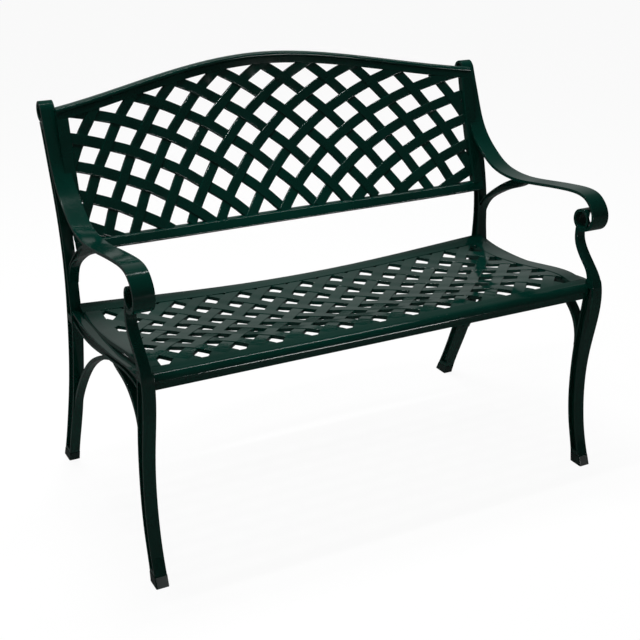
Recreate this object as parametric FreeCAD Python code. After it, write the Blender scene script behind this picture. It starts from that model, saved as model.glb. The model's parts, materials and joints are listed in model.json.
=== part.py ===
import FreeCAD, Part
import math
import os

V = FreeCAD.Vector

# ---------------------------------------------------------------- driving dimensions (mm)
DEPTH_SHIFT = -16.5        # moves the side-profile datum so the box is centred front to back
ARM_OUT = 509.5            # outer edge of the arm straps
ARM_IN = 470.0             # inner edge of the arm straps
ARM_TOP_IN = 481.0         # inner edge of the strap where it meets the post top
ARM_T = 6.5                # strap thickness
POST_IN, POST_OUT = 486.0, 508.0
LEG_IN, LEG_OUT = 482.0, 506.0
UPRIGHT_IN, UPRIGHT_OUT = 485.0, 505.0
RAIL_IN, RAIL_OUT = 485.0, 506.0
REAR_ARCH_IN, REAR_ARCH_OUT = 489.0, 506.0
FRONT_ARCH_IN, FRONT_ARCH_OUT = 482.0, 503.0
REAR_ARCH_T, FRONT_ARCH_T = 8.5, 9.5
RECESS = 6.5               # depth of the side channels
RIM = 4.5                  # rim left round each side channel
FOOT_H = 20.0              # height of the flared shoe
SHOE_GROW = 0.8            # step of the shoe round the leg
SEAT_HALF = 490.0          # seat half width over the rims
SEAT_RIM = 35.0            # width of the flat side borders
SEAT_FRONT, SEAT_REAR = -234.0, 117.0   # the open window of the seat, front to rear
SKIRT_Y, SKIRT_Z = -262.0, 389.5   # front face of the seat's skirt, and its lower edge
WEAVE_COL, WEAVE_ROW = 74.1, 78.0       # from one opening to the next, across and in depth
WEAVE_Y = 16.5             # depth of one opening of the centre column
SEAT_STRIP = 24.5          # width of a seat strip
SEAT_LATTICE_T = 7.0
BACK_HALF = 485.5          # outer edge of the back stiles
STILE_W = 23.5
BACK_T = 18.0              # depth of the back rails and stiles
TOP_RAIL_H, LOW_RAIL_H = 24.5, 20.5
BEAD_H, BEAD_PROUD = 10.5, 3.0   # bead along the top rail
BACK_LATTICE_T = 9.0
BACK_STRIP = 21.0          # width of a back strip
ARC_R = 902.0              # radius of every back strip
ARC_X, ARC_Z = 606.8, -56.4   # centre of the first arc
ARC_DX, ARC_DZ = -42.6, 40.5  # step from one arc to the next
ROLL_Y, ROLL_Z, ROLL_R = -231.0, 555.0, 22.5
TOP_ROLL_Y, TOP_ROLL_Z, TOP_ROLL_R = 250.0, 786.0, 20.0
BOLT_R = 4.0               # M8 bolts hold the seat and the back to the end frames
HEAD_R, HEAD_H = 6.5, 4.6
WASHER_R, WASHER_T = 7.5, 1.6
SEAT_LUG_IN, SEAT_BOLT_X = 466.0, 474.0   # inner end of the seat lugs, and their bolts
BACK_LUG_IN, BACK_BOLT_X = 470.5, 478.0
BACK_LUG_Z = (566.0, 700.0)
BACK_LUG_DEPTH = 26.0
SEAT_LUG_Y = (-186.0, 78.0)
SEAT_LUG_H = 26.0


# ---------------------------------------------------------------- small helpers
def spline(points):
    c = Part.BSplineCurve()
    c.interpolate([V(*p) for p in points])
    return c.toShape()


def yz(points, x=0.0):
    return [(x, p[0], p[1]) for p in points]


def line(a, b):
    return Part.makeLine(V(*a), V(*b))


def band_face(front, back):
    """Closed face in the plane x = 0 between two open (y, z) curves run the same way."""
    f = yz(front)
    b = yz(back)
    edges = [spline(f), line(f[-1], b[-1]), spline(b), line(b[0], f[0])]
    wire = Part.Wire(Part.__sortEdges__(edges))
    return Part.Face(wire)


def offset_curve(points, d):
    """Points moved sideways by d, to the left of the direction of travel."""
    out = []
    n = len(points)
    for i, p in enumerate(points):
        a = points[max(i - 1, 0)]
        b = points[min(i + 1, n - 1)]
        ty, tz = b[0] - a[0], b[1] - a[1]
        m = math.hypot(ty, tz)
        out.append((p[0] - tz / m * d, p[1] + ty / m * d))
    return out


def extrude_x(face, x0, x1):
    s = face.copy()
    s.translate(V(x0, 0, 0))
    return s.extrude(V(x1 - x0, 0, 0))


def slice_z(face, z0, z1):
    """Part of a face in the plane x = 0 between two heights."""
    box = Part.makePlane(2000, z1 - z0, V(0, -1000, z0), V(1, 0, 0), V(0, 1, 0))
    return face.common(box)


def channel(front, back, x_in, x_out, z0, z1, rim=RIM, depth=RECESS):
    """Two shallow pockets that leave a rim and a central web on a prismatic member."""
    inner = band_face(offset_curve(front, -rim), offset_curve(back, rim))
    pocket = slice_z(inner, z0, z1)
    cuts = []
    for f in pocket.Faces:
        cuts.append(extrude_x(f, x_out - depth, x_out + 1.0))
        cuts.append(extrude_x(f, x_in - 1.0, x_in + depth))
    return cuts


def cut_all(shape, tools):
    for t in tools:
        shape = shape.cut(t)
    return shape


def try_fillet(shape, pick, radius):
    edges = [e for e in shape.Edges if pick(e)]
    if not edges:
        return shape
    try:
        out = shape.makeFillet(radius, edges)
        if out.isValid() and out.Volume > 0.6 * shape.Volume:
            return out
    except Exception:
        pass
    return shape


def mirrored(shape):
    out = shape.mirror(V(0, 0, 0), V(1, 0, 0))
    if not out.isValid():
        out.fix(1e-4, 1e-4, 1e-3)
    return out


def smooth(t):
    t = max(0.0, min(1.0, t))
    return t * t * (3.0 - 2.0 * t)


# ---------------------------------------------------------------- end frame profiles (y, z)
REAR_BACK = [(301, 0), (271, 60), (244, 123), (211, 211), (185, 317), (174, 400),
             (170.5, 455), (173, 507), (179, 545), (194, 604), (222, 680), (240, 725), (257, 764)]
REAR_FRONT = [(262, 0), (240, 55), (208.5, 123), (180, 195), (161, 262), (146, 330), (140.5, 378),
              (146, 430), (148.5, 470), (152, 507), (158.5, 545), (171.5, 597), (200, 680),
              (218.5, 725), (235.5, 764)]
FRONT_FRONT = [(-287.5, 0), (-276, 30), (-263.5, 70), (-255, 115), (-250.5, 170), (-252, 225),
               (-258, 270), (-268, 320), (-275.5, 365), (-276.5, 400), (-269, 430), (-254, 450),
               (-237.5, 466.5), (-221.5, 484), (-210.5, 502), (-207.5, 522), (-212, 545)]
FRONT_REAR = [(-254.5, 0), (-248.5, 37), (-237, 83), (-229.5, 129), (-226.5, 176), (-227, 225),
              (-230.5, 275), (-237, 322), (-243, 365), (-247.5, 400), (-249, 425), (-243.5, 443),
              (-229, 459.5), (-212.5, 478), (-202, 497), (-199.5, 522), (-203, 545)]
STRAP_TOP = [(250, 806), (236, 797), (229, 782), (212.5, 742), (198, 707), (182.5, 676),
             (156, 643.5), (121.5, 617.5), (84, 598), (40.5, 589), (-5, 588), (-55, 593),
             (-117.5, 602), (-174, 609), (-210, 611), (-238, 606), (-257, 592.5), (-268, 575),
             (-269, 557), (-260, 541), (-243, 531.5), (-226, 530)]


# ---------------------------------------------------------------- end frame members, right side
def rear_leg():
    face = band_face(REAR_FRONT, REAR_BACK)
    body = extrude_x(face, POST_IN, POST_OUT)
    cuts = channel(REAR_FRONT, REAR_BACK, POST_IN, POST_OUT, FOOT_H + 10, 372)
    cuts += channel(REAR_FRONT, REAR_BACK, POST_IN, POST_OUT, 388, 752)
    return cut_all(body, cuts), face


def front_leg():
    face = band_face(FRONT_FRONT, FRONT_REAR)
    low = extrude_x(slice_z(face, -1, 428), LEG_IN, LEG_OUT)
    high = extrude_x(slice_z(face, 428, 600), UPRIGHT_IN, UPRIGHT_OUT)
    body = low.fuse(high)
    cuts = channel(FRONT_FRONT, FRONT_REAR, LEG_IN, LEG_OUT, FOOT_H + 10, 412)
    return cut_all(body, cuts), face


def shoe(face, x_in, x_out):
    """Flared foot block, a little larger than the leg it closes."""
    def ring(z, grow):
        low = max(z - 1.0, 0.001)
        b = slice_z(face, low, low + 1.0).BoundBox
        y0, y1 = b.YMin - grow, b.YMax + grow
        x0, x1 = x_in - grow, x_out + grow
        pts = [V(x0, y0, z), V(x1, y0, z), V(x1, y1, z), V(x0, y1, z), V(x0, y0, z)]
        return Part.makePolygon(pts)

    body = Part.makeLoft([ring(0.0, SHOE_GROW), ring(FOOT_H, SHOE_GROW)], True, True)
    return try_fillet(body, lambda e: abs(e.Vertexes[0].Z - e.Vertexes[-1].Z) > 10, 2.5)


def arm_strap():
    under = offset_curve(STRAP_TOP, ARM_T)
    face = band_face(STRAP_TOP, under)
    body = extrude_x(face, ARM_IN, ARM_OUT)
    narrowing = [(ARM_IN - 1.0, 100, 590), (ARM_IN + 0.6, 100, 640), (ARM_IN + 4.5, 100, 695),
                 (ARM_IN + 9.0, 100, 742), (ARM_TOP_IN, 100, 776)]
    corners = [narrowing[-1], (ARM_TOP_IN, 100, 830), (ARM_IN - 5.0, 100, 830),
               (ARM_IN - 5.0, 100, 590), narrowing[0]]
    edges = [spline(narrowing)] + [line(a, b) for a, b in zip(corners, corners[1:])]
    tool = Part.Face(Part.Wire(Part.__sortEdges__(edges))).extrude(V(0, 250, 0))
    return body.cut(tool)


def front_scroll():
    """Hollow curl at the strap end; its upper front quarter tapers away towards the inner edge."""
    tube = Part.makeCylinder(ROLL_R, ARM_OUT - 3.0 - ARM_IN, V(ARM_IN, ROLL_Y, ROLL_Z), V(1, 0, 0))
    bore = Part.makeCylinder(ROLL_R - 5.5, 60, V(ARM_IN - 5, ROLL_Y, ROLL_Z), V(1, 0, 0))
    body = tube.cut(bore)
    z0 = ROLL_Z - 9.0
    pts = [V(ARM_OUT + 1, ROLL_Y + 8.0, z0), V(ARM_OUT - 3.0, ROLL_Y + 8.0, z0),
           V(ARM_IN + 4.0, ROLL_Y - 20.0, z0), V(ARM_IN + 4.0, ROLL_Y - 40.0, z0),
           V(ARM_OUT + 1, ROLL_Y - 40.0, z0)]
    taper = Part.Face(Part.makePolygon(pts + [pts[0]])).extrude(V(0, 0, 60))
    return body.cut(taper), tube


def top_scroll():
    """Curl that folds the strap back over the post, dished on both sides."""
    x0, x1 = ARM_TOP_IN, ARM_OUT - 1.0
    drum = Part.makeCylinder(TOP_ROLL_R, x1 - x0, V(x0, TOP_ROLL_Y, TOP_ROLL_Z), V(1, 0, 0))
    for xs, s in ((x0, 1), (x1, -1)):
        dish = Part.makeCylinder(TOP_ROLL_R - 5.5, 8.0, V(xs, TOP_ROLL_Y, TOP_ROLL_Z), V(s, 0, 0))
        drum = drum.cut(dish)
    return drum


def arm_brace():
    top = [(158, 476), (132.5, 506), (94.7, 536.5), (57, 560.5), (24, 577), (-2, 586)]
    low = [(150, 440), (144, 470), (126, 499), (90.3, 524.5), (47, 546.5), (8, 562), (-22, 580)]
    face = band_face(top, low)
    body = extrude_x(face, UPRIGHT_IN, UPRIGHT_OUT)
    return cut_all(body, channel(low, top, UPRIGHT_IN, UPRIGHT_OUT, 485, 566, 3.0, 5.0))


RAIL_LOW = [(150, 380), (110, 370.5), (60, 367.5), (0, 371.5), (-60, 381), (-120, 389.5),
            (-175, 397), (-215, 397.5), (-260, 391)]
RAIL_TOP = [(150, 403), (110, 395.5), (60, 393), (0, 394), (-60, 398.5), (-120, 405),
            (-175, 413), (-215, 417), (-260, 416)]


def seat_rail():
    face = band_face(RAIL_LOW, RAIL_TOP)
    body = extrude_x(face, RAIL_IN, RAIL_OUT)
    return cut_all(body, channel(RAIL_LOW, RAIL_TOP, RAIL_IN, RAIL_OUT, 300, 450)), face


REAR_ARCH_TOP = [(-82, 391), (-45, 377), (-12, 362), (43.5, 330.5), (106, 279), (142, 240),
                 (171, 203), (197, 158)]
FRONT_ARCH_TOP = [(-98, 396), (-118, 389), (-168, 378), (-203, 358), (-226, 331), (-236.5, 302),
                  (-238, 270)]


def arch(points, thickness, x_in, x_out):
    face = band_face(points, offset_curve(points, thickness))
    return extrude_x(face, x_in, x_out)


# ---------------------------------------------------------------- seat surface
# height of the seat along its side edges and along its middle, as (y, z) from the rear
SIDE_LINE = [(165, 417), (150, 412.5), (125, 405.5), (100, 400.5), (70, 397.8), (35, 398.3),
             (0, 401.5), (-30, 404.8), (-60, 409), (-90, 413.7), (-120, 418.7), (-155, 424),
             (-187, 426.8), (-215, 425.5), (-240, 421.5), (-275, 411)]
MIDDLE_LINE = [(165, 393), (150, 390), (120, 389), (80, 388.5), (35, 388), (-15, 390),
               (-60, 394.2), (-105, 400.7), (-150, 409.6), (-187, 418), (-215, 421.5), (-240, 419),
               (-275, 408)]


def height_at(stations, y):
    """Smooth height at depth y: a cubic piece between two stations, with their mean slopes."""
    last = len(stations) - 2
    i = 0
    while i < last and stations[i + 1][0] > y:
        i += 1
    (y0, z0), (y1, z1) = stations[max(i - 1, 0)], stations[i]
    (y2, z2), (y3, z3) = stations[i + 1], stations[min(i + 2, last + 1)]
    h = y2 - y1
    t = (y - y1) / h
    a = (z2 - z0) / (y2 - y0) * h
    b = (z3 - z1) / (y3 - y1) * h
    return z1 + t * (a + t * (3.0 * (z2 - z1) - 2.0 * a - b + t * (2.0 * (z1 - z2) + a + b)))


def seat_height(x, y):
    """Top of the seat: dished across, from the middle line up to the side lines."""
    s = (x / SEAT_HALF) ** 2
    middle = height_at(MIDDLE_LINE, y)
    return middle + (height_at(SIDE_LINE, y) - middle) * s * (1.4 - 0.4 * s)


def seat_slab(y0, y1, above, below, half):
    """Curved plate that follows the dished seat between two heights off its surface."""
    ys = [y0 + (y1 - y0) * i / 16.0 for i in range(17)]
    wires = []
    for j in range(-6, 7):
        x = half * j / 6.0
        up = [(x, y, seat_height(x, y) + above) for y in ys]
        dn = [(x, y, seat_height(x, y) + below) for y in ys]
        edges = [spline(up), line(up[-1], dn[-1]), spline(dn), line(dn[0], up[0])]
        wires.append(Part.Wire(Part.__sortEdges__(edges)))
    return Part.makeLoft(wires, True, False)


def section_wire(points, x):
    pts = [V(x, p[0], p[1]) for p in points]
    return Part.makePolygon(pts + [pts[0]])


def front_roll(z1):
    """Outer line of the front rail's roll as (y, z): a quarter ellipse with a small lip below."""
    centre_y, centre_z = SEAT_FRONT - 13.0, z1 - 17.0
    line_out = []
    for degrees in (90, 70, 50, 30, 12, 0):
        a = math.radians(degrees)
        line_out.append((centre_y - 16.5 * math.cos(a), centre_z + 16.0 * math.sin(a)))
    return line_out + [(SKIRT_Y, centre_z - 1.6)]


def seat_front_rail():
    """Rolled front rail over an upright skirt, lofted across the width."""
    wires = []
    for j in range(-6, 7):
        x = SEAT_HALF * j / 6.0
        z0 = seat_height(x, SEAT_FRONT)
        z1 = seat_height(x, SEAT_FRONT - 10.0)
        prof = [(SEAT_FRONT, z0), (SEAT_FRONT - 10.0, z1)] + front_roll(z1)
        prof += [(SKIRT_Y, SKIRT_Z), (SKIRT_Y + 5.5, SKIRT_Z), (SKIRT_Y + 5.5, z1 - 18.0),
                 (-250, z1 - 10.0), (SEAT_FRONT - 8.0, z1 - 7.5), (SEAT_FRONT, z0 - 8.0)]
        wires.append(section_wire(prof, x))
    return Part.makeLoft(wires, True, False)


def seat_rear_rail():
    wires = []
    for j in range(-6, 7):
        x = SEAT_HALF * j / 6.0
        za = seat_height(x, SEAT_REAR)
        zb = seat_height(x, 132.0)
        zc = seat_height(x, 145.0) + 2.0
        prof = [(SEAT_REAR, za), (132, zb + 1.0), (145, zc), (150, zc - 1.5), (152.5, zc - 6.5),
                (152.5, zc - 26.0), (147.5, zc - 26.0), (147.5, zc - 9.0), (132, zb - 7.0),
                (SEAT_REAR, za - 8.0)]
        wires.append(section_wire(prof, x))
    return Part.makeLoft(wires, True, False)


def seat_side_rim():
    """Side border, lofted front to back, with a rounded lip over the seat rail."""
    wires = []
    n = 16
    inner, outer = SEAT_HALF - SEAT_RIM, SEAT_HALF
    for j in range(n + 1):
        y = SEAT_FRONT + (SEAT_REAR - SEAT_FRONT) * j / n
        zi = seat_height(inner, y)
        zo = seat_height(outer - 6.0, y)
        pts = [(inner, zi), (outer - 6.0, zo), (outer - 1.5, zo - 1.8), (outer, zo - 6.0),
               (outer, zo - 9.0), (outer - 11.0, zo - 8.0), (inner, zi - 8.0)]
        v = [V(p[0], y, p[1]) for p in pts]
        wires.append(Part.makePolygon(v + [v[0]]))
    return Part.makeLoft(wires, True, False)


def seat_lattice():
    """Diamond mesh of crossing strips cut out of the dished seat surface."""
    x1 = SEAT_HALF - SEAT_RIM
    y0, y1 = SEAT_FRONT, SEAT_REAR
    slab = seat_slab(y0, y1, -0.6, -0.6 - SEAT_LATTICE_T, x1)
    a = math.atan2(WEAVE_ROW, WEAVE_COL)
    half_opening = (WEAVE_COL * math.sin(a) - SEAT_STRIP) / math.sin(2.0 * a) / 2.0
    u = V(math.cos(a), math.sin(a), 0) * half_opening
    w = V(math.cos(a), -math.sin(a), 0) * half_opening
    openings = []
    for i in range(-14, 15):
        for j in range(-14, 15):
            c = V(0.5 * WEAVE_COL * (i + j), WEAVE_Y + 0.5 * WEAVE_ROW * (i - j), 300)
            if abs(c.x) > x1 + 15 or c.y < y0 - 15 or c.y > y1 + 15:
                continue
            pts = [c + u + w, c + u - w, c - u - w, c - u + w]
            openings.append(Part.Face(Part.makePolygon(pts + [pts[0]])))
    border = Part.makePlane(2 * x1 - 0.2, y1 - y0 - 0.2, V(-x1 + 0.1, y0 + 0.1, 300))
    plate = max(border.cut(Part.makeCompound(openings)).Faces, key=lambda f: f.Area)
    return plate.extrude(V(0, 0, 200)).common(slab)


# ---------------------------------------------------------------- back surface
def back_y(x, z):
    """Depth of the back panel: a curved centre profile eased into the straighter ends."""
    t = (z - 660.0) / 150.0
    centre = 267.0 + 62.0 * t - 20.0 * t * t
    end = 184.5 + 44.0 * t - 6.0 * t * t
    s = (x / 480.0) ** 2
    g = 1.3 * s - 0.3 * s * s
    return centre - (centre - end) * g


def low_edge(x):
    return 508.0 + 15.0 * (x / 455.0) ** 2


def crest(x):
    """Top line of the back: a low arch that eases into flat shoulders."""
    s = abs(x) / 470.0
    return 853.0 - 55.5 * (0.42 * s * s + 0.58 * smooth(s))


def under_crest(x):
    return crest(x) - TOP_RAIL_H


def top_rail_profile(zlo, zhi):
    """Section as (depth, height): a flat face under a half-round bead, and a plain rear."""
    h = BACK_T / 2.0
    face = -h + BEAD_PROUD
    top = zhi - BEAD_H / 2.0
    bead = []
    for i in range(9):
        a = math.radians(-80.0 + 20.0 * i)
        bead.append((-h + BEAD_H / 2.0 * (1.0 - math.cos(a)), top + BEAD_H / 2.0 * math.sin(a)))
    return [(face + 2.0, zlo), (h - 1.5, zlo), (h, zlo + 2.0), (h, zhi - 2.5), (h - 2.5, zhi)] + \
        bead[::-1] + [(face, zhi - BEAD_H), (face, zlo + 1.5)]


def low_rail_profile(zlo, zhi):
    """Section as (depth, height): a flat bar with eased corners."""
    h = BACK_T / 2.0
    return [(-h + 2.5, zlo), (h - 1.5, zlo), (h, zlo + 2.0), (h, zhi - 2.5), (h - 2.5, zhi),
            (-h + 2.5, zhi), (-h, zhi - 2.5), (-h, zlo + 3.0)]


def back_rail(profile, z_low, z_high, n=12):
    """Rail lofted across the back, its section leaning with the back surface."""
    wires = []
    for j in range(-n, n + 1):
        x = BACK_HALF * j / n
        a, b = z_low(x), z_high(x)
        m = 0.5 * (a + b)
        lean = (back_y(x, m + 5) - back_y(x, m - 5)) / 10.0
        y = back_y(x, m)
        wires.append(section_wire([(y + d + (z - m) * lean, z) for d, z in profile(a, b)], x))
    return Part.makeLoft(wires, True, False)


def back_stile():
    x0, x1 = BACK_HALF - STILE_W, BACK_HALF
    za, zb = low_edge(x0) + LOW_RAIL_H - 1.0, under_crest(x0) + 1.0
    wires = []
    n = 8
    xm = 0.5 * (x0 + x1)
    for j in range(n + 1):
        z = za + (zb - za) * j / n
        y = back_y(xm, z)
        h = BACK_T / 2.0
        pts = [V(x0, y - h + 2.5, z), V(x0 + 2.5, y - h, z), V(x1, y - h, z), V(x1, y + h, z),
               V(x0, y + h, z)]
        wires.append(Part.makePolygon(pts + [pts[0]]))
    return Part.makeLoft(wires, True, False)


def back_slab(t, half):
    zs = [505.0 + 30.0 * i for i in range(13)]
    wires = []
    for j in range(-8, 9):
        x = half * j / 8.0
        f = [(x, back_y(x, z) - t / 2.0, z) for z in zs]
        b = [(x, back_y(x, z) + t / 2.0, z) for z in zs]
        edges = [spline(f), line(f[-1], b[-1]), spline(b), line(b[0], f[0])]
        wires.append(Part.Wire(Part.__sortEdges__(edges)))
    return Part.makeLoft(wires, True, False)


def arc_band(k):
    """Flat front-view face of one strip: equal arcs stepped up and to the left."""
    cx = ARC_X + ARC_DX * k
    cz = ARC_Z + ARC_DZ * k
    r0, r1 = ARC_R - BACK_STRIP / 2.0, ARC_R + BACK_STRIP / 2.0
    a0, a1 = math.radians(95), math.radians(190)

    def at(r, a):
        return V(cx + r * math.cos(a), 0, cz + r * math.sin(a))

    am = 0.5 * (a0 + a1)
    outer = Part.Arc(at(r1, a0), at(r1, am), at(r1, a1)).toShape()
    inner = Part.Arc(at(r0, a0), at(r0, am), at(r0, a1)).toShape()
    e1 = Part.makeLine(at(r1, a0), at(r0, a0))
    e2 = Part.makeLine(at(r1, a1), at(r0, a1))
    return Part.Face(Part.Wire(Part.__sortEdges__([outer, e2, inner, e1])))


def back_lattice():
    x1 = BACK_HALF - STILE_W + 2.0
    n = 24
    lo = [(x1 * (2.0 * i / n - 1.0), 0, low_edge(x1 * (2.0 * i / n - 1.0)) + 18.5) for i in range(n + 1)]
    hi = [(x1 * (2.0 * i / n - 1.0), 0, under_crest(x1 * (2.0 * i / n - 1.0)) + 2.0) for i in range(n + 1)]
    edges = [spline(lo), line(lo[-1], hi[-1]), spline(hi), line(hi[0], lo[0])]
    window = Part.Face(Part.Wire(Part.__sortEdges__(edges)))
    strips = []
    for k in range(-10, 14):
        f = arc_band(k)
        strips.append(f)
        strips.append(f.mirror(V(0, 0, 0), V(1, 0, 0)))
    gaps = window.cut(Part.makeCompound(strips))
    flat = window.cut(Part.makeCompound([g for g in gaps.Faces if g.Area > 12.0]))
    flat = max(flat.Faces, key=lambda q: q.Area)
    prism = flat.extrude(V(0, 420, 0))
    return prism.common(back_slab(BACK_LATTICE_T, x1 + 6.0))


# ---------------------------------------------------------------- mounting lugs and bolts
def bolt_set(base, direction, reach):
    """Washer, round-headed bolt with a hex socket, and its full bore, from the washer's seat."""
    d = V(*direction)
    washer = Part.makeCylinder(WASHER_R, WASHER_T, base - d * WASHER_T, d)
    seat = base - d * WASHER_T
    head = Part.makeCone(HEAD_R * 0.6, HEAD_R, HEAD_H, seat - d * HEAD_H, d)
    socket = Part.makeCylinder(2.9, 2.6, seat - d * HEAD_H, d)
    shank = Part.makeCylinder(BOLT_R, reach + WASHER_T, seat, d)
    return head.cut(socket).fuse(shank).removeSplitter(), washer.cut(shank), shank


def back_lugs(stile, post):
    """Blocks cast on the post, behind the stile, with the bolts that pull the back on to them."""
    lugs, bolts, washers, bores = [], [], [], []
    for z in BACK_LUG_Z:
        y0 = back_y(BACK_BOLT_X, z)
        lug = Part.makeBox(POST_IN - BACK_LUG_IN, BACK_LUG_DEPTH, 28.0, V(BACK_LUG_IN, y0, z - 14.0))
        lug = lug.cut(stile).cut(post)
        lug = max(lug.Solids, key=lambda q: q.Volume)
        bolt, washer, bore = bolt_set(V(BACK_BOLT_X, y0 + BACK_LUG_DEPTH, z), (0, -1, 0),
                                      BACK_LUG_DEPTH - 2.0)
        lugs.append(lug.cut(bore))
        bolts.append(bolt)
        washers.append(washer)
        bores.append(bore)
    return lugs, bolts, washers, bores


def seat_lugs(rim):
    """Blocks cast on the seat rail, under the seat border, with the bolts that hold the seat."""
    lugs, bolts, washers, bores = [], [], [], []
    for y in SEAT_LUG_Y:
        low = seat_height(SEAT_BOLT_X, y) - SEAT_LUG_H
        lug = Part.makeBox(RAIL_IN - SEAT_LUG_IN, 28.0, SEAT_LUG_H + 4.0, V(SEAT_LUG_IN, y - 14.0, low))
        lug = max(lug.cut(rim).Solids, key=lambda q: -q.CenterOfMass.z)
        bolt, washer, bore = bolt_set(V(SEAT_BOLT_X, y, low), (0, 0, 1), SEAT_LUG_H - 3.5)
        lugs.append(lug.cut(bore))
        bolts.append(bolt)
        washers.append(washer)
        bores.append(bore)
    return lugs, bolts, washers, bores


def both_sides(solids):
    return Part.makeCompound(solids + [mirrored(s) for s in solids])


# ---------------------------------------------------------------- build
def main():
    os.makedirs("parts", exist_ok=True)
    made = {}

    leg_r, rear_face = rear_leg()
    leg_f, front_face = front_leg()
    strap = arm_strap()
    scroll, scroll_full = front_scroll()
    curl = top_scroll()
    brace = arm_brace()
    rail, rail_face = seat_rail()
    r_arch = arch(REAR_ARCH_TOP, -REAR_ARCH_T, REAR_ARCH_IN, REAR_ARCH_OUT)
    f_arch = arch(FRONT_ARCH_TOP, FRONT_ARCH_T, FRONT_ARCH_IN, FRONT_ARCH_OUT)
    shoe_r = shoe(rear_face, POST_IN, POST_OUT)
    shoe_f = shoe(front_face, LEG_IN, LEG_OUT)

    post_solid = extrude_x(rear_face, POST_IN, POST_OUT)
    wide_rear, wide_front, wide_rail = [
        extrude_x(f, LEG_IN - 2.0, ARM_OUT + 2.0) for f in (rear_face, front_face, rail_face)]

    # the shoes replace the lowest part of each leg
    floor_cut = Part.makeBox(1200, 1200, FOOT_H + 20, V(0, -600, -20))
    leg_r = leg_r.cut(floor_cut)
    leg_f = leg_f.cut(floor_cut)

    # each member gives way to the one it runs into
    scroll = scroll.cut(strap)
    curl = curl.cut(strap)
    leg_r = leg_r.cut(strap).cut(curl)
    leg_f = leg_f.cut(strap).cut(scroll_full)
    rail = rail.cut(wide_rear).cut(wide_front)
    brace = brace.cut(wide_rear).cut(strap)
    r_arch = r_arch.cut(wide_rear).cut(wide_rail)
    f_arch = f_arch.cut(wide_front).cut(wide_rail)

    def biggest(s):
        return max(s.Solids, key=lambda q: q.Volume)

    side = {
        "rear_leg": leg_r, "front_leg": leg_f, "arm_strap": strap, "front_scroll": scroll,
        "top_scroll": curl, "arm_brace": brace, "seat_rail": rail,
        "rear_arch": r_arch, "front_arch": f_arch, "rear_shoe": shoe_r, "front_shoe": shoe_f,
    }
    for name, s in side.items():
        s = biggest(s)
        made[name + "_right"] = s
        made[name + "_left"] = mirrored(s)

    # seat
    f_rail = seat_front_rail()
    r_rail = seat_rear_rail()
    rim = seat_side_rim()
    lattice = seat_lattice()
    frame_keepout = [extrude_x(rear_face, POST_IN - 0.5, 520), extrude_x(front_face, UPRIGHT_IN - 3.0, 520),
                     extrude_x(rail_face, RAIL_IN, 520)]
    for k in range(len(frame_keepout)):
        frame_keepout.append(mirrored(frame_keepout[k]))
    f_rail = cut_all(f_rail, frame_keepout)
    r_rail = cut_all(r_rail, frame_keepout)
    rim = cut_all(rim, frame_keepout)
    rim = biggest(rim)
    lugs, bolts, washers, bores = seat_lugs(rim)
    rim = cut_all(rim, bores)
    made["seat_lugs"] = both_sides(lugs)
    made["seat_bolts"] = both_sides(bolts)
    made["seat_washers"] = both_sides(washers)
    made["seat_front_rail"] = biggest(f_rail)
    made["seat_rear_rail"] = biggest(r_rail)
    made["seat_side_rim_right"] = rim
    made["seat_side_rim_left"] = mirrored(rim)
    made["seat_lattice"] = lattice

    # back
    top_rail = back_rail(top_rail_profile, under_crest, crest)
    low_rail = back_rail(low_rail_profile, low_edge, lambda x: low_edge(x) + LOW_RAIL_H)
    stile = back_stile().cut(top_rail).cut(low_rail)
    stile = biggest(stile)
    lugs, bolts, washers, bores = back_lugs(stile, post_solid)
    made["back_lugs"] = both_sides(lugs)
    made["back_bolts"] = both_sides(bolts)
    made["back_washers"] = both_sides(washers)
    stile = cut_all(stile, bores)
    made["back_top_rail"] = top_rail
    made["back_bottom_rail"] = low_rail
    made["back_stile_right"] = stile
    made["back_stile_left"] = mirrored(stile)
    net = back_lattice()
    net = net.cut(top_rail).cut(low_rail).cut(stile).cut(mirrored(stile))
    made["back_lattice"] = net

    for name, s in sorted(made.items()):
        s.translate(V(0, DEPTH_SHIFT, 0))
        s.exportStep("parts/%s.step" % name)
        b = s.optimalBoundingBox(True, False)
        print("%-22s vol %9.0f solids %2d valid %s  x %7.1f %7.1f  y %7.1f %7.1f  z %6.1f %6.1f" % (
            name, s.Volume, len(s.Solids), s.isValid(), b.XMin, b.XMax, b.YMin, b.YMax, b.ZMin, b.ZMax))


main()
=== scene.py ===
import json
import math

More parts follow.
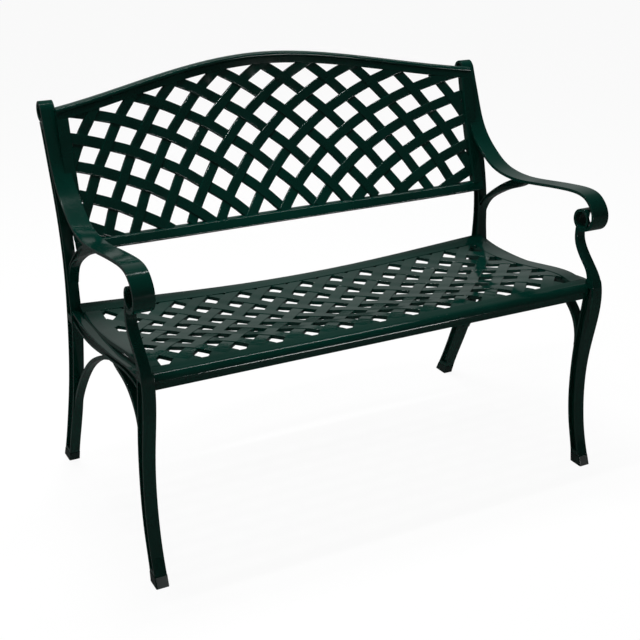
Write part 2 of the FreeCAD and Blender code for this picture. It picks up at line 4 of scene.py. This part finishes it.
import bmesh
import bpy
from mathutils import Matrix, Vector

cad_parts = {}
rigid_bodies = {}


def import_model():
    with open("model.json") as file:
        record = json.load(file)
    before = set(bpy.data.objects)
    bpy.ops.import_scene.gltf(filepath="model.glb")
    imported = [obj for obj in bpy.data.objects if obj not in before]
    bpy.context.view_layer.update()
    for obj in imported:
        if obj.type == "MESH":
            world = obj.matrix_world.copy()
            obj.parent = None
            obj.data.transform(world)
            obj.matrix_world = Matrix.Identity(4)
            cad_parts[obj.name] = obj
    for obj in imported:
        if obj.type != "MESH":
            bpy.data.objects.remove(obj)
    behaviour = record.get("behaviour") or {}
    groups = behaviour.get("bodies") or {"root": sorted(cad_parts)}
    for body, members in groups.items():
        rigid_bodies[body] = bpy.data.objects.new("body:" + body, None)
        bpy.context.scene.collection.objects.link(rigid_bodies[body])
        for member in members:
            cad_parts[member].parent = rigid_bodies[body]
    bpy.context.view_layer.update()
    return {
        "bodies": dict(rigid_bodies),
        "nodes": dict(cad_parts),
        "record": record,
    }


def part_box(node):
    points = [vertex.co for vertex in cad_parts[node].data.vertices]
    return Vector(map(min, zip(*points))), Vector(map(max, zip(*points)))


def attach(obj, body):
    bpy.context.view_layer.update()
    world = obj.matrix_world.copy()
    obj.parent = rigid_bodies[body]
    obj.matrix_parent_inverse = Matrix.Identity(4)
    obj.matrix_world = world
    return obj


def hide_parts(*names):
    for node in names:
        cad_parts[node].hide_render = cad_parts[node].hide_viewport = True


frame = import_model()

NODES = frame["nodes"]
BODY = next(iter(frame["bodies"]))
MM = 0.001

# ---------------------------------------------------------------- driving dimensions (metres)
DEPTH_SHIFT = -0.0165          # same datum shift as the solids
# back surface: heights and half widths that its formulas start from
BACK_MID_Z, BACK_RISE = 0.660, 0.150
BACK_HALF = 0.480
CREST_Z, CREST_DROP, CREST_HALF = 0.853, 0.0555, 0.470
SILL_Z, SILL_RISE, SILL_HALF = 0.508, 0.015, 0.455
# back lattice: centre of the first arc, step to the next one, and the stretch that is drawn
ARC_R = 0.902
ARC_X, ARC_Z = 0.6068, -0.0564
ARC_DX, ARC_DZ = -0.0426, 0.0405
ARC_FROM, ARC_SWEEP, ARC_POINTS = 92, 100, 260      # degrees, degrees, pieces
ARC_NUMBERS = range(-12, 17)
BACK_STRIP_W, BACK_STRIP_T = 0.0210, 0.0082
TOP_RAIL_H, LOW_RAIL_H = 0.0245, 0.0205
BACK_WEAVE = 0.0010            # how far a strip swings to each side of the middle surface
# seat lattice: width and depth of one diamond, and where its rows start
WEAVE_COL, WEAVE_ROW, WEAVE_Y = 0.0741, 0.0780, 0.0165
WEAVE_NUMBERS = range(-14, 15)
WEAVE_POINT, WEAVE_REACH = 0.006, 180               # spacing of a strip's points, points a side
SEAT_STRIP_W, SEAT_STRIP_T = 0.0245, 0.0078
SEAT_WEAVE = 0.0005
SEAT_HALF = 0.490              # half width over the side borders
SEAT_X = 0.455                 # half width of the seat's open window
SEAT_Y = (-0.234, 0.117)       # front and rear of that window, before the shift
SEAT_STEP = 0.0010             # how far the strips lie below the border
TUCK = 0.007                   # how far strip ends run inside the border
FLAT_EDGE, FADE = 0.002, 0.014  # the weave is flat next to the border and fades in from there
BACK_CORNER, SEAT_CORNER = 0.0018, 0.0008   # edge radius of the strips
WEAVE_SLOPE = 1.9              # above 1, so strips lie flat at each crossing
# mesh clean-up
CREASE = math.radians(38)      # edges sharper than this stay sharp, and get a bevel
WELD_GAP = 0.00002
# noise scales of the finishes, per metre
MOTTLE, SMEAR, WAVE, PEEL, SPANGLE = 9.0, 38.0, 55.0, 1400.0, 420.0
# camera
CAMERA_AT = (-1.0733, -2.0176 + DEPTH_SHIFT, 1.2744)
LOOK_DOWN, LOOK_RIGHT = 22.308, 27.659              # degrees
LENS_MM, SENSOR_MM = 65.44, 36.0


# ---------------------------------------------------------------- materials
def new_material(name):
    mat = bpy.data.materials.new(name)
    mat.use_nodes = True
    return mat, mat.node_tree, mat.node_tree.nodes["Principled BSDF"]


def add(tree, kind, **values):
    node = tree.nodes.new(kind)
    for key, value in values.items():
        if hasattr(node, key):
            setattr(node, key, value)
        else:
            node.inputs[key.replace("_", " ")].default_value = value
    return node


def noise(tree, scale, detail=3.0, roughness=0.5):
    coords = add(tree, "ShaderNodeTexCoord")
    node = add(tree, "ShaderNodeTexNoise", Scale=scale, Detail=detail, Roughness=roughness)
    tree.links.new(coords.outputs["Object"], node.inputs["Vector"])
    return node


def ramp(tree, source, stops):
    node = add(tree, "ShaderNodeValToRGB")
    while len(node.color_ramp.elements) < len(stops):
        node.color_ramp.elements.new(0.5)
    for element, (position, colour) in zip(node.color_ramp.elements, stops):
        element.position = position
        element.color = colour
    tree.links.new(source, node.inputs["Fac"])
    return node


def painted_casting(name, dark, light, gloss=(0.07, 0.15)):
    """Gloss powder coat over a sand casting: faint mottling, orange peel and slow waviness."""
    mat, tree, shader = new_material(name)
    tone = noise(tree, MOTTLE, 4.0)
    colour = ramp(tree, tone.outputs["Fac"], [(0.3, (*dark, 1)), (0.75, (*light, 1))])
    tree.links.new(colour.outputs["Color"], shader.inputs["Base Color"])
    smear = noise(tree, SMEAR, 5.0, 0.6)
    rough = add(tree, "ShaderNodeMapRange", To_Min=gloss[0], To_Max=gloss[1])
    tree.links.new(smear.outputs["Fac"], rough.inputs["Value"])
    tree.links.new(rough.outputs["Result"], shader.inputs["Roughness"])
    peel = noise(tree, PEEL, 2.0)
    wave = noise(tree, WAVE, 3.0)
    fine = add(tree, "ShaderNodeBump", Strength=0.05, Distance=0.0002)
    slow = add(tree, "ShaderNodeBump", Strength=0.08, Distance=0.001)
    tree.links.new(wave.outputs["Fac"], slow.inputs["Height"])
    tree.links.new(peel.outputs["Fac"], fine.inputs["Height"])
    tree.links.new(slow.outputs["Normal"], fine.inputs["Normal"])
    tree.links.new(fine.outputs["Normal"], shader.inputs["Normal"])
    shader.inputs["Specular IOR Level"].default_value = 0.5
    return mat


def zinc_steel():
    """Dull zinc plate with a fine spangle."""
    mat, tree, shader = new_material("zinc_plate")
    spangle = noise(tree, SPANGLE, 4.0, 0.6)
    colour = ramp(tree, spangle.outputs["Fac"],
                  [(0.35, (0.30, 0.31, 0.31, 1)), (0.7, (0.52, 0.53, 0.51, 1))])
    tree.links.new(colour.outputs["Color"], shader.inputs["Base Color"])
    rough = add(tree, "ShaderNodeMapRange", To_Min=0.3, To_Max=0.5)
    tree.links.new(spangle.outputs["Fac"], rough.inputs["Value"])
    tree.links.new(rough.outputs["Result"], shader.inputs["Roughness"])
    shader.inputs["Metallic"].default_value = 1.0
    return mat


PAINT = painted_casting("green_paint", (0.0006, 0.0215, 0.0150), (0.0010, 0.0290, 0.0205))
FOOT_PAINT = painted_casting("foot_paint", (0.0010, 0.0170, 0.0120), (0.0030, 0.0260, 0.0190),
                             (0.25, 0.45))
ZINC = zinc_steel()
MATERIALS = {"green_casting": PAINT, "foot_casting": FOOT_PAINT, "zinc_steel": ZINC}


def mesh_object(name, bm):
    mesh = bpy.data.meshes.new(name)
    bm.to_mesh(mesh)
    bm.free()
    thing = bpy.data.objects.new(name, mesh)
    bpy.context.scene.collection.objects.link(thing)
    return thing


def finish_piece(piece, slot):
    piece.data.materials.clear()
    piece.data.materials.append(MATERIALS[slot])
    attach(piece, BODY)


# ---------------------------------------------------------------- rounded edges on the castings
def mesh_group(name):
    """An empty node group that takes a mesh and gives one back, with its two end nodes."""
    group = bpy.data.node_groups.new(name, "GeometryNodeTree")
    for way in ("INPUT", "OUTPUT"):
        group.interface.new_socket("Geometry", in_out=way, socket_type="NodeSocketGeometry")
    return group, group.nodes.new("NodeGroupInput"), group.nodes.new("NodeGroupOutput")


def edge_tools():
    """Two small node groups: one welds the mesh, one sets smooth shading with sharp creases kept."""
    weld, start, end = mesh_group("weld_mesh")
    drop = weld.nodes.new("GeometryNodeRemoveAttribute")
    drop.inputs["Name"].default_value = "custom_normal"
    merge = weld.nodes.new("GeometryNodeMergeByDistance")
    merge.inputs["Distance"].default_value = WELD_GAP
    weld.links.new(start.outputs[0], drop.inputs[0])
    weld.links.new(drop.outputs[0], merge.inputs[0])
    weld.links.new(merge.outputs[0], end.inputs[0])

    smooth, start, end = mesh_group("smooth_by_angle")
    angle = smooth.nodes.new("GeometryNodeInputMeshEdgeAngle")
    limit = smooth.nodes.new("FunctionNodeCompare")
    limit.data_type = "FLOAT"
    limit.operation = "LESS_THAN"
    limit.inputs[1].default_value = CREASE
    faces = smooth.nodes.new("GeometryNodeSetShadeSmooth")
    edges = smooth.nodes.new("GeometryNodeSetShadeSmooth")
    edges.domain = "EDGE"
    smooth.links.new(angle.outputs[0], limit.inputs[0])
    smooth.links.new(start.outputs[0], faces.inputs[0])
    smooth.links.new(faces.outputs[0], edges.inputs[0])
    smooth.links.new(limit.outputs[0], edges.inputs["Shade Smooth"])
    smooth.links.new(edges.outputs[0], end.inputs[0])
    return weld, smooth


WELD, SMOOTH = edge_tools()


def shade(piece):
    """Smooth shading that keeps creases, with the normals of wide faces left flat."""
    smooth = piece.modifiers.new("smooth", "NODES")
    smooth.node_group = SMOOTH
    flat = piece.modifiers.new("flat_faces", "WEIGHTED_NORMAL")
    flat.keep_sharp = True
    flat.weight = 80


def soften(piece, radius, segments=3):
    weld = piece.modifiers.new("weld", "NODES")
    weld.node_group = WELD
    bevel = piece.modifiers.new("cast_edges", "BEVEL")
    bevel.width = radius
    bevel.segments = segments
    bevel.limit_method = "ANGLE"
    bevel.angle_limit = CREASE
    bevel.miter_outer = "MITER_ARC"
    shade(piece)


# edge radius of each family of castings, in mm
EDGE_RADIUS = {"rear_leg": 1.4, "front_leg": 1.4, "arm_strap": 2.2, "front_scroll": 1.6,
               "top_scroll": 1.6, "arm_brace": 1.0, "seat_rail": 1.2, "rear_arch": 1.8,
               "front_arch": 1.8, "rear_shoe": 1.6, "front_shoe": 1.6, "seat_front_rail": 1.0,
               "seat_rear_rail": 1.2, "seat_side_rim": 1.2, "back_top_rail": 1.4,
               "back_bottom_rail": 1.4, "back_stile": 1.4, "seat_lugs": 1.5, "back_lugs": 1.5,
               "seat_bolts": 0.4, "back_bolts": 0.4, "seat_washers": 0.3, "back_washers": 0.3}


def dress_castings():
    slots = {s["node"]: s["material_slot"] for s in frame["record"]["subparts"]}
    for name, node in NODES.items():
        node.data.materials.clear()
        node.data.materials.append(MATERIALS[slots[name]])
        family = name.replace("_left", "").replace("_right", "")
        if family in EDGE_RADIUS:
            soften(node, EDGE_RADIUS[family] * MM)


# ---------------------------------------------------------------- woven lattices
def strip_section(width, thickness, corner):
    """Rounded rectangle as (across, up) points, anticlockwise."""
    points = []
    a, b = width / 2 - corner, thickness / 2 - corner
    for cx, cy, start in ((a, b, 0), (-a, b, 90), (-a, -b, 180), (a, -b, 270)):
        for step in range(4):
            t = math.radians(start + 30 * step)
            points.append((cx + corner * math.cos(t), cy + corner * math.sin(t)))
    return points


def weave_strip(bm, path, section, surface, lift, inside, tuck):
    """Adds one strip. path holds plan points; lift(p) is its height off the surface at p."""
    rings = []
    for i, p in enumerate(path):
        before, after = path[max(i - 1, 0)], path[min(i + 1, len(path) - 1)]
        along = (after - before).normalized()
        across = Vector((-along.y, along.x))
        if not any(inside(p + across * s * section[0][0]) for s in (-1, 0, 1)):
            if rings:
                break
            continue
        ring = []
        for u, v in section:
            q = tuck(p + across * u)
            point, normal = surface(q)
            ring.append(bm.verts.new(point + normal * (lift(p) + v)))
        rings.append(ring)
    if len(rings) < 2:
        return
    n = len(section)
    for a, b in zip(rings, rings[1:]):
        for k in range(n):
            bm.faces.new((a[k], a[(k + 1) % n], b[(k + 1) % n], b[k]))
    bm.faces.new(list(reversed(rings[0])))
    bm.faces.new(rings[-1])


def weave_wave(phase):
    """Alternating over and under: flat along each crossing, with a short slope between."""
    return max(-1.0, min(1.0, WEAVE_SLOPE * math.cos(math.pi * phase)))


def mesh_piece(name, bm):
    bmesh.ops.recalc_face_normals(bm, faces=bm.faces)
    piece = mesh_object(name, bm)
    shade(piece)
    return piece


def back_y(x, z):
    """Depth of the back's middle surface: a curved centre profile eased into straighter ends."""
    t = (z - BACK_MID_Z) / BACK_RISE
    centre = 0.267 + 0.062 * t - 0.020 * t * t
    end = 0.1845 + 0.044 * t - 0.006 * t * t
    s = (x / BACK_HALF) ** 2
    return centre - (centre - end) * (1.3 * s - 0.3 * s * s) + DEPTH_SHIFT


def ease(t):
    t = max(0.0, min(1.0, t))
    return t * t * (3.0 - 2.0 * t)


def crest(x):
    """Height of the top edge of the back, lowest at the posts."""
    s = abs(x) / CREST_HALF
    return CREST_Z - CREST_DROP * (0.42 * s * s + 0.58 * ease(s))


def back_window(x):
    """Lower and upper edge of the back's open window."""
    sill = SILL_Z + SILL_RISE * (x / SILL_HALF) ** 2
    return sill + LOW_RAIL_H, crest(x) - TOP_RAIL_H


def back_lattice():
    half_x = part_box("back_stile_right")[0].x

    def surface(q):
        d = 0.002
        x, z = q
        slope_x = (back_y(x + d, z) - back_y(x - d, z)) / (2 * d)
        slope_z = (back_y(x, z + d) - back_y(x, z - d)) / (2 * d)
        return Vector((x, back_y(x, z), z)), Vector((slope_x, -1.0, slope_z)).normalized()

    def inside(q):
        low, high = back_window(q.x)
        return abs(q.x) < half_x and low < q.y < high

    def tuck(q):
        x = max(-half_x - TUCK, min(half_x + TUCK, q.x))
        low, high = back_window(x)
        return Vector((x, max(low - TUCK, min(high + TUCK, q.y))))

    def arc_index(q, side):
        """Which arc of that family, as a real number, runs through a plan point."""
        x, z = side * q.x - ARC_X, q.y - ARC_Z
        a = ARC_DX ** 2 + ARC_DZ ** 2
        b = x * ARC_DX + z * ARC_DZ
        c = x * x + z * z - ARC_R ** 2
        return (b - math.sqrt(b * b - a * c)) / a

    section = strip_section(BACK_STRIP_W, BACK_STRIP_T, BACK_CORNER)
    bm = bmesh.new()
    for side in (1, -1):
        for k in ARC_NUMBERS:
            path = []
            for i in range(ARC_POINTS + 1):
                t = math.radians(ARC_FROM + ARC_SWEEP * i / ARC_POINTS)
                x = ARC_X + ARC_DX * k + ARC_R * math.cos(t)
                z = ARC_Z + ARC_DZ * k + ARC_R * math.sin(t)
                path.append(Vector((side * x, z)))

            def lift(p, k=k, side=side):
                return side * BACK_WEAVE * weave_wave(k + arc_index(p, -side))

            weave_strip(bm, path, section, surface, lift, inside, tuck)
    piece = mesh_piece("back_lattice_woven", bm)
    finish_piece(piece, "green_casting")
    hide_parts("back_lattice")


# height of the seat along its side edges and along its middle, as (y, z) in mm from the rear
SIDE_LINE = [(165, 417), (150, 412.5), (125, 405.5), (100, 400.5), (70, 397.8), (35, 398.3),
             (0, 401.5), (-30, 404.8), (-60, 409), (-90, 413.7), (-120, 418.7), (-155, 424),
             (-187, 426.8), (-215, 425.5), (-240, 421.5), (-275, 411)]
MIDDLE_LINE = [(165, 393), (150, 390), (120, 389), (80, 388.5), (35, 388), (-15, 390),
               (-60, 394.2), (-105, 400.7), (-150, 409.6), (-187, 418), (-215, 421.5), (-240, 419),
               (-275, 408)]


def height_at(stations, y):
    """Smooth height at depth y: a cubic piece between two stations, with their mean slopes."""
    last = len(stations) - 2
    i = 0
    while i < last and stations[i + 1][0] > y:
        i += 1
    (y0, z0), (y1, z1) = stations[max(i - 1, 0)], stations[i]
    (y2, z2), (y3, z3) = stations[i + 1], stations[min(i + 2, last + 1)]
    h = y2 - y1
    t = (y - y1) / h
    a = (z2 - z0) / (y2 - y0) * h
    b = (z3 - z1) / (y3 - y1) * h
    return z1 + t * (a + t * (3.0 * (z2 - z1) - 2.0 * a - b + t * (2.0 * (z1 - z2) + a + b)))


def seat_height(x, y):
    """Top of the seat: dished across, from the middle line up to the side lines."""
    s = (x / SEAT_HALF) ** 2
    middle = height_at(MIDDLE_LINE, y / MM)
    return (middle + (height_at(SIDE_LINE, y / MM) - middle) * s * (1.4 - 0.4 * s)) * MM


def seat_lattice():
    def surface(q):
        return Vector((q.x, q.y + DEPTH_SHIFT, seat_height(q.x, q.y))), Vector((0, 0, 1))

    def inside(q):
        return abs(q.x) < SEAT_X and SEAT_Y[0] < q.y < SEAT_Y[1]

    def tuck(q):
        x = max(-SEAT_X - TUCK, min(SEAT_X + TUCK, q.x))
        return Vector((x, max(SEAT_Y[0] - TUCK, min(SEAT_Y[1] + TUCK, q.y))))

    def border_blend(q):
        gap = min(SEAT_X - abs(q.x), q.y - SEAT_Y[0], SEAT_Y[1] - q.y)
        return ease((gap - FLAT_EDGE) / FADE)

    section = strip_section(SEAT_STRIP_W, SEAT_STRIP_T, SEAT_CORNER)
    border = -SEAT_STEP - SEAT_STRIP_T / 2
    middle = border - SEAT_WEAVE
    bm = bmesh.new()
    for side in (1, -1):
        along = Vector((WEAVE_COL, side * WEAVE_ROW)).normalized()
        for k in WEAVE_NUMBERS:
            # strips lie half way between openings
            origin = Vector(((k + 0.5) * WEAVE_COL, WEAVE_Y))
            path = [origin + along * (WEAVE_POINT * i)
                    for i in range(-WEAVE_REACH, WEAVE_REACH + 1)]

            def lift(p, k=k, side=side):
                other = p.x / WEAVE_COL + side * (p.y - WEAVE_Y) / WEAVE_ROW - 0.5
                swing = side * SEAT_WEAVE * weave_wave(k + other)
                blend = border_blend(p)
                return (middle + swing) * blend + border * (1 - blend)

            weave_strip(bm, path, section, surface, lift, inside, tuck)
    piece = mesh_piece("seat_lattice_woven", bm)
    finish_piece(piece, "green_casting")
    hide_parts("seat_lattice")


# ---------------------------------------------------------------- floor, light and camera
def studio_world():
    """White to camera rays, a dim room with a pale rear wall to glossy rays, even to the rest."""
    world = bpy.data.worlds.new("studio")
    bpy.context.scene.world = world
    world.use_nodes = True
    tree = world.node_tree
    link = tree.links.new
    even = tree.nodes["Background"]
    even.inputs["Color"].default_value = (0.13, 0.135, 0.13, 1)

    coords = add(tree, "ShaderNodeTexCoord")
    facing = add(tree, "ShaderNodeVectorMath", operation="DOT_PRODUCT")
    facing.inputs[1].default_value = (0.35, 0.93, 0.0)
    wall = add(tree, "ShaderNodeMapRange", From_Min=0.0, From_Max=0.95, To_Min=0.04, To_Max=0.27)
    wall.interpolation_type = "SMOOTHSTEP"
    split = add(tree, "ShaderNodeSeparateXYZ")
    height = ramp(tree, split.outputs["Z"],
                  [(0.0, (0.04, 0.05, 0.05, 1)), (0.06, (0.9, 0.95, 0.93, 1)),
                   (0.45, (1, 1, 1, 1)), (0.8, (0.5, 0.55, 0.53, 1))])
    tint = add(tree, "ShaderNodeVectorMath", operation="SCALE")
    room = add(tree, "ShaderNodeBackground")
    link(coords.outputs["Generated"], facing.inputs[0])
    link(coords.outputs["Generated"], split.inputs[0])
    link(facing.outputs["Value"], wall.inputs["Value"])
    link(height.outputs["Color"], tint.inputs[0])
    link(wall.outputs["Result"], tint.inputs["Scale"])
    link(tint.outputs["Vector"], room.inputs["Color"])

    white = add(tree, "ShaderNodeBackground", Color=(1, 1, 1, 1))
    path = add(tree, "ShaderNodeLightPath")
    glossy = add(tree, "ShaderNodeMixShader")
    seen = add(tree, "ShaderNodeMixShader")
    link(path.outputs["Is Glossy Ray"], glossy.inputs[0])
    link(even.outputs[0], glossy.inputs[1])
    link(room.outputs[0], glossy.inputs[2])
    link(path.outputs["Is Camera Ray"], seen.inputs[0])
    link(glossy.outputs[0], seen.inputs[1])
    link(white.outputs[0], seen.inputs[2])
    link(seen.outputs[0], tree.nodes["World Output"].inputs[0])


def studio_floor():
    """Pale floor: nearly white with a faint contact shadow, and dim where the gloss reflects it."""
    bm = bmesh.new()
    bmesh.ops.create_grid(bm, x_segments=1, y_segments=1, size=30)
    floor = mesh_object("floor", bm)
    mat, tree, shader = new_material("pale_floor")
    link = tree.links.new
    shader.inputs["Base Color"].default_value = (0.82, 0.82, 0.82, 1)
    shader.inputs["Roughness"].default_value = 0.95
    shader.inputs["Specular IOR Level"].default_value = 0.0
    glow = add(tree, "ShaderNodeEmission", Color=(1, 1, 1, 1), Strength=1.04)
    lit = add(tree, "ShaderNodeMixShader")
    lit.inputs[0].default_value = 0.90
    dim = add(tree, "ShaderNodeEmission", Color=(1, 1, 1, 1), Strength=0.08)
    path = add(tree, "ShaderNodeLightPath")
    seen = add(tree, "ShaderNodeMixShader")
    glossy = add(tree, "ShaderNodeMixShader")
    link(shader.outputs[0], lit.inputs[1])
    link(glow.outputs[0], lit.inputs[2])
    link(path.outputs["Is Camera Ray"], seen.inputs[0])
    link(shader.outputs[0], seen.inputs[1])
    link(lit.outputs[0], seen.inputs[2])
    link(path.outputs["Is Glossy Ray"], glossy.inputs[0])
    link(seen.outputs[0], glossy.inputs[1])
    link(dim.outputs[0], glossy.inputs[2])
    link(glossy.outputs[0], tree.nodes["Material Output"].inputs[0])
    floor.data.materials.append(mat)


def soft_box(name, place, target, size, power):
    """A rectangular lamp that faces the target; its power is in watts."""
    light = bpy.data.lights.new(name, "AREA")
    light.shape = "RECTANGLE"
    light.size, light.size_y = size
    light.energy = power
    lamp = bpy.data.objects.new(name, light)
    bpy.context.scene.collection.objects.link(lamp)
    lamp.location = place
    lamp.rotation_euler = (Vector(target) - Vector(place)).to_track_quat("-Z", "Y").to_euler()
    return lamp


def studio():
    bpy.context.scene.view_settings.view_transform = "Standard"
    studio_world()
    studio_floor()
    soft_box("top_left", (-0.5, 0.15, 2.8), (-0.5, 0.15, 0), (0.8, 0.09), 24)
    soft_box("top_right", (0.8, 0.15, 2.8), (0.8, 0.15, 0), (1.2, 0.09), 6)
    soft_box("left_window", (-2.6, -0.2, 2.0), (0, 0, 0.6), (0.8, 1.2), 7)
    # a line that only the gloss picks up, and a fill that it doesn't
    line = soft_box("front_line", (1.0, -2.6, 0.45), (0.2, -0.2, 0.42), (1.0, 0.15), 16)
    line.visible_diffuse = False
    fill = soft_box("rear_fill", (0, 0.8, 3.2), (0, 0, 0.4), (1.4, 0.6), 48)
    fill.visible_glossy = False


def camera():
    """Three-quarter view from the front left, a little above the bench."""
    lens = bpy.data.cameras.new("camera")
    lens.sensor_width = SENSOR_MM
    lens.lens = LENS_MM
    lens.clip_start = 0.05
    cam = bpy.data.objects.new("camera", lens)
    bpy.context.scene.collection.objects.link(cam)
    cam.location = CAMERA_AT
    cam.rotation_euler = (math.radians(90 - LOOK_DOWN), 0, math.radians(-LOOK_RIGHT))
    bpy.context.scene.camera = cam


camera()
studio()
dress_castings()
back_lattice()
seat_lattice()
